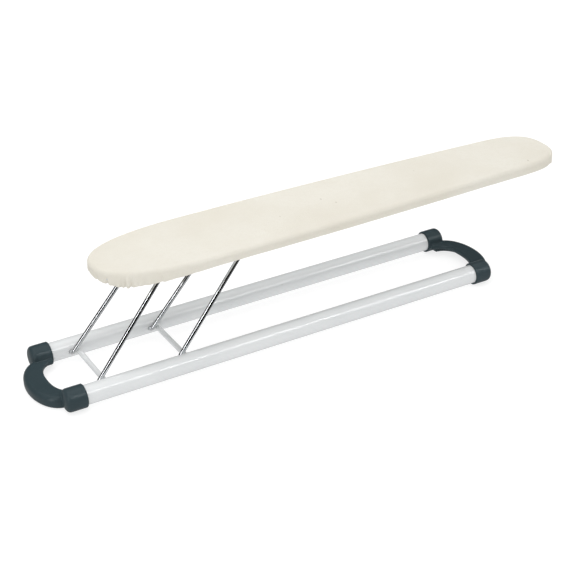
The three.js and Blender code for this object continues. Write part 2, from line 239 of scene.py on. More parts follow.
def make_drift_group():
    """Slow, soft variation of colour and gloss, such as every real surface has."""
    group, tree, given, wanted = new_group(
        "slow_drift",
        [("Vector", VECTOR, None), ("Scale", FLOAT, 12.0), ("Base", COLOR, rgba(0.8, 0.8, 0.8)),
         ("Other", COLOR, rgba(0.7, 0.7, 0.7)), ("Roughness", FLOAT, 0.4), ("Swing", FLOAT, 0.1)],
        [("Color", COLOR), ("Roughness", FLOAT)])
    drift = tree.noise(given["Vector"], given["Scale"], 4.0, 0.55)
    mask = tree.rise(drift, 0.3, 0.75)
    tree.links.new(tree.mix_color(mask, given["Base"], given["Other"]), wanted["Color"])
    swing = tree.math("MULTIPLY_ADD", tree.math("SUBTRACT", drift, 0.5), given["Swing"], given["Roughness"])
    tree.links.new(swing, wanted["Roughness"])
    return group


def make_grain_group():
    """Fine relief: moulded grain, paint's orange peel or felt fibre, by its scale."""
    group, tree, given, wanted = new_group(
        "fine_grain",
        [("Vector", VECTOR, None), ("Scale", FLOAT, 1500.0), ("Coarse", FLOAT, 0.3)],
        [("Height", FLOAT)])
    fine = tree.noise(given["Vector"], given["Scale"], 3.0, 0.6)
    coarse = tree.noise(given["Vector"], tree.math("MULTIPLY", given["Scale"], 0.22), 2.0)
    tree.links.new(tree.math("MULTIPLY_ADD", coarse, given["Coarse"], fine), wanted["Height"])
    return group


def make_scuff_group():
    """Sparse short rubs, as a mask."""
    group, tree, given, wanted = new_group(
        "light_scuffs",
        [("Vector", VECTOR, None), ("Scale", FLOAT, 250.0), ("Start", FLOAT, 0.62)],
        [("Mask", FLOAT)])
    streaks = tree.noise(given["Vector"], given["Scale"], 2.0, 0.7)
    patches = tree.noise(given["Vector"], tree.math("MULTIPLY", given["Scale"], 0.08), 2.0)
    ends = tree.math("ADD", given["Start"], 0.12)
    mask = tree.math("MULTIPLY", tree.rise(streaks, given["Start"], ends), tree.rise(patches, 0.5, 0.7))
    tree.links.new(mask, wanted["Mask"])
    return group


def make_weave_group():
    """Plain weave with uneven yarns: its relief, the shade between threads, and thick slubs."""
    group, tree, given, wanted = new_group(
        "plain_weave",
        [("Vector", VECTOR, None), ("Threads", FLOAT, 2200.0), ("Uneven", FLOAT, 0.35)],
        [("Height", FLOAT), ("Gaps", FLOAT), ("Slubs", FLOAT)])
    split = tree.add("ShaderNodeSeparateXYZ", {"Vector": given["Vector"]}).outputs
    waves = []
    for axis in ("X", "Y"):
        half_turns = tree.math("MULTIPLY", given["Threads"], math.pi)
        waves.append(tree.math("SINE", tree.math("MULTIPLY", split[axis], half_turns)))
    crossing = tree.math("MULTIPLY", waves[0], waves[1])
    over = tree.math("MULTIPLY_ADD", crossing, 0.5, 0.5)
    ridges = [tree.math("ABSOLUTE", wave) for wave in waves]
    thread = tree.math("MULTIPLY", ridges[0], ridges[1])
    slub_masks = []
    for scale in ((30.0, 0.9, 0.01), (0.9, 30.0, 0.01)):
        stretched = tree.stretch(given["Vector"], scale)
        slub_masks.append(tree.rise(tree.noise(stretched, 100.0, 2.0), 0.62, 0.74))
    slubs = tree.math("MAXIMUM", *slub_masks)
    raised = tree.math("MULTIPLY_ADD", slubs, given["Uneven"], tree.math("ADD", thread, over))
    tree.links.new(raised, wanted["Height"])
    tree.links.new(tree.math("SUBTRACT", 1.0, thread), wanted["Gaps"])
    tree.links.new(slubs, wanted["Slubs"])
    return group


DRIFT = make_drift_group()
GRAIN = make_grain_group()
SCUFFS = make_scuff_group()
WEAVE = make_weave_group()


# ---------------------------------------------------------------- materials
def new_material(name, color, roughness):
    material = bpy.data.materials.new(name)
    material.use_nodes = True
    material.diffuse_color = rgba(*color)
    shader = material.node_tree.nodes["Principled BSDF"]
    shader.inputs["Base Color"].default_value = rgba(*color)
    shader.inputs["Roughness"].default_value = roughness
    return material, Tree(material.node_tree), shader


def hard_finish(name, color, other, roughness, swing, grain_scale, grain_height, coarse=0.3):
    """A painted, moulded or plated surface: drifting colour and gloss over fine relief. Gives the
    material, its tree and shader, and the drift and place that a finish may build on."""
    material, tree, shader = new_material(name, color, roughness)
    place = tree.own_place()
    drift = tree.group(DRIFT, {"Vector": place, "Base": rgba(*color), "Other": rgba(*other),
                               "Roughness": roughness, "Swing": swing})
    tree.links.new(drift["Color"], shader.inputs["Base Color"])
    tree.links.new(drift["Roughness"], shader.inputs["Roughness"])
    grain = tree.group(GRAIN, {"Vector": place, "Scale": grain_scale, "Coarse": coarse})
    tree.links.new(tree.bump(grain["Height"], 1.0, grain_height), shader.inputs["Normal"])
    return material, tree, shader, drift, place


def white_paint():
    material, tree, shader, drift, place = hard_finish(
        "white_paint", (0.745, 0.76, 0.765), (0.71, 0.728, 0.735), 0.3, 0.1, 900.0, 0.000008, 0.4)
    shader.inputs["Coat Weight"].default_value = 0.6
    shader.inputs["Coat Roughness"].default_value = 0.09
    rubs = tree.group(SCUFFS, {"Vector": place, "Scale": 260.0, "Start": 0.66})["Mask"]
    worn = tree.mix_color(rubs, drift["Color"], rgba(0.6, 0.61, 0.6))
    tree.links.new(worn, shader.inputs["Base Color"])
    return material


def grip_plastic():
    material, tree, shader, drift, place = hard_finish(
        "grip_plastic", (0.032, 0.05, 0.057), (0.039, 0.058, 0.066), 0.32, 0.1, 2600.0, 0.00002)
    shader.inputs["Specular IOR Level"].default_value = 0.2
    rubs = tree.group(SCUFFS, {"Vector": place, "Scale": 420.0, "Start": 0.64})["Mask"]
    worn = tree.mix_color(rubs, drift["Color"], rgba(0.075, 0.095, 0.1))
    tree.links.new(worn, shader.inputs["Base Color"])
    return material


def chrome_wire():
    material, _, shader, _, _ = hard_finish(
        "chrome_wire", (0.82, 0.83, 0.84), (0.74, 0.76, 0.78), 0.05, 0.05, 500.0, 0.000004)
    shader.inputs["Metallic"].default_value = 1.0
    return material


def zinc_steel():
    material, _, shader, _, _ = hard_finish(
        "zinc_steel", (0.52, 0.53, 0.54), (0.4, 0.42, 0.45), 0.34, 0.2, 900.0, 0.00002)
    shader.inputs["Metallic"].default_value = 1.0
    return material


def deck_paint():
    return hard_finish(
        "deck_paint", (0.66, 0.67, 0.67), (0.6, 0.615, 0.62), 0.42, 0.14, 800.0, 0.00004, 1.0)[0]


def pad_felt():
    return hard_finish(
        "pad_felt", (0.62, 0.6, 0.54), (0.5, 0.48, 0.43), 0.95, 0.05, 900.0, 0.0003, 1.2)[0]


def woven_cotton(name, color, shade, threads, relief):
    """Undyed plain-weave cotton on its own unfolded pattern, with seed flecks and thick yarns."""
    material, tree, shader = new_material(name, color, 0.88)
    pattern = tree.add("ShaderNodeTexCoord").outputs["UV"]
    weave = tree.group(WEAVE, {"Vector": pattern, "Threads": threads})
    drift = tree.group(DRIFT, {"Vector": pattern, "Scale": 9.0, "Base": rgba(*color), "Other": rgba(*shade),
                               "Roughness": 0.88, "Swing": 0.08})
    between = tree.math("MULTIPLY", weave["Gaps"], 0.1)
    mottle = tree.rise(tree.noise(pattern, 170.0, 5.0, 0.7), 0.42, 0.68)
    drifted = tree.mix_color(tree.math("MULTIPLY", mottle, 0.35), drift["Color"], rgba(*shade))
    thread_shade = tree.mix_color(between, drifted, rgba(0.45, 0.41, 0.32))
    slub_shade = tree.mix_color(tree.math("MULTIPLY", weave["Slubs"], 0.16), thread_shade,
                                rgba(0.62, 0.57, 0.45))
    cells = tree.add("ShaderNodeTexVoronoi", {"Vector": tree.stretch(pattern, (1.0, 0.55, 1.0), 0.4),
                                              "Scale": 75.0, "Randomness": 1.0})
    chosen = tree.rise(tree.add("ShaderNodeSeparateColor",
                                {"Color": cells.outputs["Color"]}).outputs["Red"], 0.86, 0.9)
    seed = tree.math("SUBTRACT", 1.0, tree.rise(cells.outputs["Distance"], 0.03, 0.09))
    fleck = tree.math("MULTIPLY", seed, chosen)
    flecked = tree.mix_color(tree.math("MULTIPLY", fleck, 0.55), slub_shade, rgba(0.33, 0.28, 0.18))
    tree.links.new(flecked, shader.inputs["Base Color"])
    tree.links.new(drift["Roughness"], shader.inputs["Roughness"])
    tree.links.new(tree.bump(weave["Height"], 1.0, relief), shader.inputs["Normal"])
    shader.inputs["Sheen Weight"].default_value = 0.12
    shader.inputs["Sheen Roughness"].default_value = 0.5
    return material


MATERIALS = {
    "white_paint": white_paint(),
    "grip_plastic": grip_plastic(),
    "chrome_wire": chrome_wire(),
    "zinc_steel": zinc_steel(),
    "deck_paint": deck_paint(),
    "pad_felt": pad_felt(),
    "cover_cotton": woven_cotton(
        "cover_cotton", (0.82, 0.793, 0.713), (0.765, 0.728, 0.635), 2200.0, 0.00012),
    "hem_thread": woven_cotton(
        "hem_thread", (0.82, 0.79, 0.7), (0.76, 0.72, 0.62), 5000.0, 0.00003),
}


# ---------------------------------------------------------------- mesh helpers
def grid_faces(rows, columns, wrap_rows=False):
    """Quads between rows of points, each row a closed ring."""
    faces = []
    for row in range(rows if wrap_rows else rows - 1):
        low, high = row * columns, (row + 1) % rows * columns
        for column in range(columns):
            beside = (column + 1) % columns
            faces.append((low + column, low + beside, high + beside, high + column))
    return faces


def capped_faces(rows, columns):
    """The quads between rows, with a flat face at the first row and at the last."""
    last = (rows - 1) * columns
    return [*grid_faces(rows, columns), tuple(range(columns)), tuple(range(last, last + columns))]


def add_object(name, points, faces):
    mesh = bpy.data.meshes.new(name)
    mesh.from_pydata((np.array(points, float) * MM).tolist(), [], faces)
    made = bpy.data.objects.new(name, mesh)
    bpy.context.scene.collection.objects.link(made)
    return made


def settle(obj, sharp_angle=35.0):
    """Welds the mesh, faces it outwards and shades it smooth up to the sharp angle."""
    work = bmesh.new()
    work.from_mesh(obj.data)
    bmesh.ops.remove_doubles(work, verts=work.verts, dist=1e-6)
    bmesh.ops.recalc_face_normals(work, faces=work.faces)
    for face in work.faces:
        face.smooth = True
    for edge in work.edges:
        edge.smooth = edge.calc_face_angle(0.0) < math.radians(sharp_angle)
    work.to_mesh(obj.data)
    work.free()
    return obj


def bake(obj):
    """Turns what an object's modifiers make into its plain mesh."""
    graph = bpy.context.evaluated_depsgraph_get()
    mesh = bpy.data.meshes.new_from_object(obj.evaluated_get(graph))
    obj.modifiers.clear()
    obj.data = mesh
    return obj


def boolean(obj, tool, operation="DIFFERENCE"):
    modifier = obj.modifiers.new(operation.lower(), "BOOLEAN")
    modifier.operation = operation
    modifier.solver = "MANIFOLD"
    modifier.object = tool
    bake(obj)
    bpy.data.objects.remove(tool)
    return obj


def joined(name, parts):
    """One object from several lists of points and faces."""
    points, faces = [], []
    for part_points, part_faces in parts:
        start = len(points)
        points += [tuple(p) for p in part_points]
        faces += [tuple(start + i for i in face) for face in part_faces]
    return settle(add_object(name, points, faces))


def arc(across, up, radius, start, end, steps):
    """Points on an arc, from one angle to another in degrees."""
    angles = [math.radians(start + (end - start) * k / steps) for k in range(steps + 1)]
    return [(across + radius * math.cos(a), up + radius * math.sin(a)) for a in angles]


def turned(profile, axis, sides, centre=(0, 0, 0)):
    """A shape turned about an axis, from (radius, distance along it) pairs. A profile that starts on
    the axis ends there too; any other closes on itself."""
    points = []
    for radius, along in profile:
        for k in range(sides):
            angle = 2 * math.pi * k / sides
            across, up = radius * math.cos(angle), radius * math.sin(angle)
            point = {"x": (along, across, up), "y": (up, along, across), "z": (across, up, along)}[axis]
            points.append(np.array(point) + centre)
    return points, grid_faces(len(profile), sides, wrap_rows=profile[0][0] > 0)


def rod(axis, radius, start, end, centre, sides=32):
    """A plain drill or pin along an axis."""
    return turned([(0, start), (radius, start), (radius, end), (0, end)], axis, sides, centre)


def bent_path(corners, bends, steps):
    """A line through the corners, each inner corner bent to its own radius."""
    corners = [Vector(c) for c in corners]
    path = [corners[0]]
    for before, corner, after, bend in zip(corners, corners[1:], corners[2:], bends):
        back, onward = (before - corner).normalized(), (after - corner).normalized()
        half = back.angle(onward) / 2
        centre = corner + (back + onward).normalized() * (bend / math.sin(half))
        start = corner + back * (bend / math.tan(half)) - centre
        axis = onward.cross(back).normalized()
        for k in range(steps + 1):
            turn = Matrix.Rotation((math.pi - 2 * half) * k / steps, 3, axis)
            path.append(turn @ start + centre)
    path.append(corners[-1])
    return path


def swept(path, radius, sides):
    """A round wire along a path, its section carried on without twisting."""
    points = []
    across = None
    for k, here in enumerate(path):
        ahead = (path[min(k + 1, len(path) - 1)] - path[max(k - 1, 0)]).normalized()
        across = (Vector((0, 0, 1)) if across is None else across)
        across = (across - ahead * across.dot(ahead)).normalized()
        beside = ahead.cross(across)
        for n in range(sides):
            angle = 2 * math.pi * n / sides
            points.append(here + (across * math.cos(angle) + beside * math.sin(angle)) * radius)
    return points, capped_faces(len(path), sides)


def dress(obj, material, body, stands_for=()):
    """Gives a finished piece its material and its body, and hides the nodes it stands for."""
    obj.data.materials.clear()
    obj.data.materials.append(MATERIALS[material])
    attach(obj, body)
    if stands_for:
        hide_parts(*stands_for)
    return obj


# ---------------------------------------------------------------- pieces that repeat
def piece_tree():
    """Puts a copy of one piece on every point, each turned the same way."""
    tree = bpy.data.node_groups.new("on_each_place", "GeometryNodeTree")
    for socket, kind in (("Places", "NodeSocketGeometry"), ("Piece", "NodeSocketObject"),
                         ("Size", "NodeSocketFloat"), ("Finish", "NodeSocketMaterial")):
        tree.interface.new_socket(socket, in_out="INPUT", socket_type=kind)
    tree.interface.new_socket("Made", in_out="OUTPUT", socket_type="NodeSocketGeometry")
    made = Tree(tree)
    given = made.add("NodeGroupInput").outputs
    piece = made.add("GeometryNodeObjectInfo", {"Object": given["Piece"]})
    copies = made.add("GeometryNodeInstanceOnPoints", {
        "Points": given["Places"], "Instance": piece.outputs["Geometry"], "Scale": given["Size"]})
    real = made.add("GeometryNodeRealizeInstances", {"Geometry": copies.outputs["Instances"]})
    finish = made.add("GeometryNodeSetMaterial", {
        "Geometry": real.outputs["Geometry"], "Material": given["Finish"]})
    made.add("NodeGroupOutput", {"Made": finish.outputs["Geometry"]})
    return tree


def perforating_tree():
    """Punches a round hole through a sheet at every place."""
    tree = bpy.data.node_groups.new("perforate", "GeometryNodeTree")
    for socket, kind in (("Sheet", "NodeSocketGeometry"), ("Places", "NodeSocketObject"),
                         ("Hole Radius", "NodeSocketFloat"), ("Punch Depth", "NodeSocketFloat"),
                         ("Hole Sides", "NodeSocketInt"), ("Finish", "NodeSocketMaterial")):
        tree.interface.new_socket(socket, in_out="INPUT", socket_type=kind)
    tree.interface.new_socket("Made", in_out="OUTPUT", socket_type="NodeSocketGeometry")
    made = Tree(tree)
    given = made.add("NodeGroupInput").outputs
    places = made.add("GeometryNodeObjectInfo", {"Object": given["Places"]})
    punch = made.add("GeometryNodeMeshCylinder", {
        "Vertices": given["Hole Sides"], "Radius": given["Hole Radius"], "Depth": given["Punch Depth"]})
    punches = made.add("GeometryNodeInstanceOnPoints", {
        "Points": places.outputs["Geometry"], "Instance": punch.outputs["Mesh"]})
    real = made.add("GeometryNodeRealizeInstances", {"Geometry": punches.outputs["Instances"]})
    holed = made.add("GeometryNodeMeshBoolean")
    holed.operation = "DIFFERENCE"
    holed.solver = "MANIFOLD"
    made.links.new(given["Sheet"], holed.inputs[0])
    made.links.new(real.outputs["Geometry"], holed.inputs[1])
    finish = made.add("GeometryNodeSetMaterial", {
        "Geometry": holed.outputs["Mesh"], "Material": given["Finish"]})
    made.add("NodeGroupOutput", {"Made": finish.outputs["Geometry"]})
    return tree


def stitching_tree():
    """Sews a run of thread along a line: one rounded stitch at every pitch."""
    tree = bpy.data.node_groups.new("stitch_run", "GeometryNodeTree")
    for socket, kind in (("Line", "NodeSocketGeometry"), ("Pitch", "NodeSocketFloat"),
                         ("Stitch Half Length", "NodeSocketFloat"), ("Thread Radius", "NodeSocketFloat"),
                         ("Finish", "NodeSocketMaterial")):
        tree.interface.new_socket(socket, in_out="INPUT", socket_type=kind)
    tree.interface.new_socket("Made", in_out="OUTPUT", socket_type="NodeSocketGeometry")
    made = Tree(tree)
    given = made.add("NodeGroupInput").outputs
    curve = made.add("GeometryNodeMeshToCurve", {"Mesh": given["Line"]})
    along = made.add("GeometryNodeCurveToPoints", {"Curve": curve.outputs["Curve"]})
    along.mode = "LENGTH"
    made.set(along, "Length", given["Pitch"])
    bead = made.add("GeometryNodeMeshUVSphere", {"Segments": 8, "Rings": 6, "Radius": 1.0})
    size = made.add("ShaderNodeCombineXYZ", {
        "X": given["Thread Radius"], "Y": given["Thread Radius"], "Z": given["Stitch Half Length"]})
    stitches = made.add("GeometryNodeInstanceOnPoints", {
        "Points": along.outputs["Points"], "Instance": bead.outputs["Mesh"],
        "Rotation": along.outputs["Rotation"], "Scale": size.outputs["Vector"]})
    real = made.add("GeometryNodeRealizeInstances", {"Geometry": stitches.outputs["Instances"]})
    smooth = made.add("GeometryNodeSetShadeSmooth", {"Geometry": real.outputs["Geometry"]})
    finish = made.add("GeometryNodeSetMaterial", {
        "Geometry": smooth.outputs["Geometry"], "Material": given["Finish"]})
    made.add("NodeGroupOutput", {"Made": finish.outputs["Geometry"]})
    return tree


def run_tree(obj, tree, inputs):
    """Gives an object a geometry tree with its named inputs, and bakes the result."""
    modifier = obj.modifiers.new(tree.name, "NODES")
    modifier.node_group = tree
    for item in tree.interface.items_tree:
        if item.in_out == "INPUT" and item.name in inputs:
            modifier[item.identifier] = inputs[item.name]
    obj.update_tag()
    return bake(obj)


def copies_at(name, pattern, places, material):
    """One mesh that holds a copy of the pattern piece at every place."""
    spots = add_object(name, places, [])
    run_tree(spots, PIECE_TREE, {"Piece": pattern, "Size": 1.0, "Finish": MATERIALS[material]})
    bpy.data.objects.remove(pattern)
    return spots


PIECE_TREE = piece_tree()
PERFORATING_TREE = perforating_tree()
STITCHING_TREE = stitching_tree()


# ---------------------------------------------------------------- base tubes and stays
def make_tube(side, sign):
    """A painted tube, bored on its inner side for the legs and stays, and below for the screws."""
    start, end = NEAR_RIM - SOCKET_DEPTH + FIT_GAP, FAR_RIM + SOCKET_DEPTH - FIT_GAP
    inner = TUBE_RADIUS - TUBE_WALL
    wall = [(inner, start), (TUBE_RADIUS, start), (TUBE_RADIUS, end), (inner, end)]
    tube = joined(f"painted_{side}_tube", [turned(wall, "x", TUBE_SIDES, (0, sign * TUBE_Y, AXIS_Z))])
    through = sorted((0.0, -sign * (TUBE_RADIUS + 1)))
    bores = []
    for foot, stay_x in zip(FEET, STAY_X):
        bores.append(rod("y", WIRE_RADIUS + FIT_GAP, *through, (foot[0], sign * TUBE_Y, AXIS_Z)))
        bores.append(rod("y", STAY_TENON_RADIUS + FIT_GAP, *through, (stay_x, sign * TUBE_Y, STAY_Z)))
    for x in (NEAR_RIM - SCREW_FROM_RIM, FAR_RIM + SCREW_FROM_RIM):
        bores.append(rod("z", SCREW_RADIUS + FIT_GAP, -TUBE_RADIUS - 1, 0, (x, sign * TUBE_Y, AXIS_Z)))
    boolean(tube, joined("bores", bores))
    settle(tube)
    return dress(tube, "white_paint", "base", [f"{side}_tube"])


def make_stay(end, x):
    """A cross bar with a weld bead against each tube."""
    face = INNER_FACE_Y - FIT_GAP
    tenon = INNER_FACE_Y + TUBE_WALL + STAY_TENON_IN_TUBE
    bead = STAY_COLLAR_RADIUS - STAY_RADIUS
    flare = [(STAY_RADIUS + bead * (1 - math.cos(k * math.pi / 12)),
              face - WELD_LENGTH * (1 - math.sin(k * math.pi / 12))) for k in range(7)]
    half = [*flare, (STAY_COLLAR_RADIUS, face), (STAY_TENON_RADIUS, face),
            (STAY_TENON_RADIUS, tenon), (0, tenon)]
    profile = [(radius, -along) for radius, along in reversed(half)] + half
    stay = joined(f"welded_{end}_stay", [turned(profile, "y", 48, (x, 0, STAY_Z))])
    return dress(stay, "white_paint", "base", [f"{end}_stay"])


for side, sign in SIDES:
    make_tube(side, sign)
for end, x in zip(("near", "far"), STAY_X):
    make_stay(end, x)


# ---------------------------------------------------------------- moulded grips
BOW_LOWERED = 1.0
BOW_SHORTER = 2.0
BOW_TOP_ROUND = 6.0
BOW_INNER_ROUND = 2.4
BOW_FOOT_ROUND = 4.0
BOW_SMALL_ROUND = 1.0
BOW_LIP = 5.2
BOW_FOOT_WIDTH = 8.5
BOW_WEB = 4.0
BOW_FROM_RIM = 2.0
BOW_SQUARENESS = 2.4
SLEEVE_DOME = 7.0
SLEEVE_DOME_SQUARENESS = 2.9
GRIP_VOXEL = 0.6


def bow_section(width):
    """The bow's section as (distance inwards, height) pairs: a foot on the outside, and a lip that
    stands in over a hollow for the fingers."""
    low, high = -SLEEVE_RADIUS, BOW_HEIGHT - SLEEVE_RADIUS - BOW_LOWERED
    foot = min(BOW_FOOT_WIDTH, width - 2 * BOW_SMALL_ROUND)
    lip = high - BOW_LIP
    soft = BOW_SMALL_ROUND
    return [*arc(BOW_FOOT_ROUND, low + BOW_FOOT_ROUND, BOW_FOOT_ROUND, 270, 180, 5),
            *arc(BOW_TOP_ROUND, high - BOW_TOP_ROUND, BOW_TOP_ROUND, 180, 90, 8),
            *arc(width - BOW_INNER_ROUND, high - BOW_INNER_ROUND, BOW_INNER_ROUND, 90, 0, 5),
            *arc(width - soft, lip + soft, soft, 0, -90, 3),
            (foot, lip), *arc(foot - soft, low + soft, soft, 0, -90, 3)]


def bow_shape():
    """The bow between the sleeves, seen from a grip whose rims are at x = 0."""
    steps = 88
    start = -SLEEVE_LENGTH + SLEEVE_END_ROUND
    outer_x, outer_y = GRIP_REACH - BOW_SHORTER + start, TUBE_Y - BOW_INSET
    inner_x, inner_y = GRIP_OPENING - BOW_FROM_RIM, TUBE_Y - SLEEVE_RADIUS - BOW_WEB
    bulge = 2 / BOW_SQUARENESS
    pairs = []
    for k in range(steps + 1):
        angle = math.pi * (k / steps - 0.5)
        cosine, sine = max(math.cos(angle), 0.0), math.sin(angle)
        outer = (start - outer_x * cosine, outer_y * sine)
        inner = (-BOW_FROM_RIM - inner_x * cosine ** bulge, inner_y * math.copysign(abs(sine) ** bulge, sine))
        pairs.append((outer, inner))
    root = (start, TUBE_Y), (-SLEEVE_END_ROUND, TUBE_Y)
    pairs = [tuple((x, -y) for x, y in root), *pairs, root]
    points = []
    for outer, inner in pairs:
        outer, inner = np.array(outer), np.array(inner)
        width = np.linalg.norm(inner - outer)
        inwards = (inner - outer) / width
        points += [(*(outer + inwards * across), up) for across, up in bow_section(width)]
    return points, capped_faces(len(pairs), len(points) // len(pairs))


def sleeve_shape(sign):
    """A closed sleeve, its rim at x = 0 and its domed end along -x."""
    bulge = 2 / SLEEVE_DOME_SQUARENESS
    profile = []
    for k in range(15):
        angle = math.pi / 2 * k / 14
        profile.append((SLEEVE_RADIUS * math.sin(angle) ** bulge,
                        -SLEEVE_LENGTH + SLEEVE_DOME * (1 - max(math.cos(angle), 0.0) ** bulge)))
    profile += [(up, along) for along, up in arc(
        -SLEEVE_RIM_ROUND, SLEEVE_RADIUS - SLEEVE_RIM_ROUND, SLEEVE_RIM_ROUND, 90, 0, 3)]
    profile.append((0, 0))
    return turned(profile, "x", TUBE_SIDES, (0, sign * TUBE_Y, 0))


def grip_cutters():
    """The tubes' sockets and the screws' seats."""
    cutters = []
    head_at = -SLEEVE_RADIUS + SCREW_RECESS
    seat = [(0, -SLEEVE_RADIUS - 1), (SCREW_HEAD_RADIUS + FIT_GAP, -SLEEVE_RADIUS - 1),
            (SCREW_HEAD_RADIUS + FIT_GAP, head_at), (SCREW_RADIUS + FIT_GAP, head_at + SCREW_HEAD_HEIGHT),
            (SCREW_RADIUS + FIT_GAP, -TUBE_RADIUS + 1), (0, -TUBE_RADIUS + 1)]
    for _, sign in SIDES:
        bore = TUBE_RADIUS + FIT_GAP
        cutters.append(rod("x", bore, -SOCKET_DEPTH, 1, (0, sign * TUBE_Y, 0), TUBE_SIDES))
        cutters.append(turned(seat, "z", 32, (-SCREW_FROM_RIM, sign * TUBE_Y, 0)))
    return joined("cutters", cutters)


def make_grips():
    """One moulding with soft corners where its parts run together, and its twin turned round."""
    grip = joined("moulded_near_grip", [bow_shape(), *(sleeve_shape(sign) for _, sign in SIDES)])
    fuse = grip.modifiers.new("fuse", "REMESH")
    fuse.mode = "VOXEL"
    fuse.voxel_size = GRIP_VOXEL * MM
    soften = grip.modifiers.new("soften", "SMOOTH")
    soften.factor, soften.iterations = 0.5, 4
    bake(grip)
    boolean(grip, grip_cutters())
    settle(grip, 40.0)
    twin = bpy.data.objects.new("moulded_far_grip", grip.data.copy())
    bpy.context.scene.collection.objects.link(twin)
    for piece, node, rim, turn in ((grip, "near_grip", NEAR_RIM, 0), (twin, "far_grip", FAR_RIM, math.pi)):
        at_rim = Matrix.Translation(Vector((rim, 0, AXIS_Z)) * MM)
        piece.data.transform(at_rim @ Matrix.Rotation(turn, 4, "Z"))
        dress(piece, "grip_plastic", "base", [node])


def make_screws():
    """Countersunk cross-head screws, seen from below the sleeves."""
    head_at = -SLEEVE_RADIUS + SCREW_RECESS
    edge = 0.25
    point = head_at + SCREW_LENGTH
    profile = [(0, head_at), (SCREW_HEAD_RADIUS - edge, head_at), (SCREW_HEAD_RADIUS, head_at + edge),
               (SCREW_RADIUS, head_at + SCREW_HEAD_HEIGHT), (SCREW_RADIUS, point - SCREW_RADIUS), (0, point)]
    screw = joined("screw", [turned(profile, "z", 32)])
    slot_depth, slot_half, slot_long = 1.1, 0.42, 1.9
    cross = []
    for half_x, half_y in ((slot_long, slot_half), (slot_half, slot_long)):
        corners = [(x, y, head_at + z) for z in (-1.0, slot_depth)
                   for x, y in ((-half_x, -half_y), (half_x, -half_y), (half_x, half_y), (-half_x, half_y))]
        cross.append((corners, capped_faces(2, 4)))
    for bar in cross:
        boolean(screw, joined("bar", [bar]))
    settle(screw)
    places = [(x, sign * TUBE_Y, AXIS_Z) for _, sign in SIDES
              for x in (NEAR_RIM - SCREW_FROM_RIM, FAR_RIM + SCREW_FROM_RIM)]
    screws = copies_at("grip_screws", screw, places, "zinc_steel")
    nodes = [f"{end}_{side}_screw" for end in ("near", "far") for side, _ in SIDES]
    dress(screws, "zinc_steel", "base", nodes)


make_grips()
make_screws()


# ---------------------------------------------------------------- wire legs
def make_leg(leg, foot):
    foot = Vector(foot)
    up_leg = Vector((math.cos(LEAN), 0, math.sin(LEAN))) * LEG_LENGTH
    foot_end = INNER_FACE_Y + TUBE_WALL + FOOT_IN_TUBE
    corners = [foot + up_leg * along + Vector((0, y, 0)) for along, y in (
        (0, -foot_end), (0, -FOOT_HALF_GAP), (1, -TOP_HALF_GAP), (1, TOP_HALF_GAP), (0, FOOT_HALF_GAP),
        (0, foot_end))]
    path = bent_path(corners, (FOOT_BEND, TOP_BEND, TOP_BEND, FOOT_BEND), 14)
    wire = joined(f"chromed_{leg}_leg", [swept(path, WIRE_RADIUS, 32)])
    dress(wire, "chrome_wire", f"{leg}_leg", [f"{leg}_leg"])


for leg, foot in zip(("near", "far"), FEET):
    make_leg(leg, foot)


# ---------------------------------------------------------------- board outline
def half_width(from_nose):
    """Half the cover's width: full nose, gentle taper, blunt tip."""
    nose = np.clip(1 - from_nose / NOSE_LENGTH, 0, None)
    tip = np.clip(1 - (BOARD_LENGTH - from_nose) / TIP_LENGTH, 0, None)
    along = np.clip((from_nose - TAPER_START) / (BOARD_LENGTH - TAPER_START), 0, None)
    return (BOARD_HALF * (1 - TIP_TAPER * along ** TAPER_EASE)
            * (1 - nose ** NOSE_FULLNESS) ** (1 / NOSE_FULLNESS)
            * (1 - tip ** TIP_FULLNESS) ** (1 / TIP_FULLNESS))


def outline(columns):
    """Evenly spaced points round the board, from the nose along the rear side and back along the
    front, with their outward directions and their distances from the nose round the edge."""
    dense = 3000
    share = (1 - np.cos(np.linspace(0, math.pi, dense))) / 2
    x = BOARD_LENGTH * share
    y = half_width(x)
    x = np.concatenate([x, x[-2::-1]])
    y = np.concatenate([y, -y[-2::-1]])
    run = np.concatenate([[0], np.cumsum(np.hypot(np.diff(x), np.diff(y)))])
    even = np.arange(columns) * run[-1] / columns
    places = np.stack([np.interp(even, run, x) + NOSE_X, np.interp(even, run, y)], 1)
    along = np.roll(places, -1, 0) - np.roll(places, 1, 0)
    along /= np.linalg.norm(along, axis=1)[:, None]
    outward = np.stack([-along[:, 1], along[:, 0]], 1)
    return places, outward, even, run[-1]


def outline_rings(columns, section):
    """Rings of points round the board, from (inset, height) pairs."""
    places, outward, _, _ = outline(columns)
    return [[(*(p - n * inset), up) for p, n in zip(places, outward)] for inset, up in section]


# ---------------------------------------------------------------- deck, clips and rivets
def steam_hole_places():
    places = []
    clear_of_legs = RIVET_REACH + CLIP_FOOT / 2 + STEAM_HOLE_RADIUS
    for y, shift in ((-STEAM_ROW_OFFSET, 0), (0, STEAM_HOLE_PITCH / 2), (STEAM_ROW_OFFSET, 0)):
        x = NOSE_X + STEAM_END_MARGIN + shift
        while x < TIP_X - STEAM_END_MARGIN:
            if all(abs(x - top[0]) > clear_of_legs for top in LEG_TOPS):
                places.append((x, y, DECK_TOP - DECK_THICKNESS / 2))
            x += STEAM_HOLE_PITCH
    return places


def rivet_places(height):
    return [(top[0] + reach, sign * CLIP_OFFSET, height) for top in LEG_TOPS
            for reach in (RIVET_REACH, -RIVET_REACH) for _, sign in SIDES]


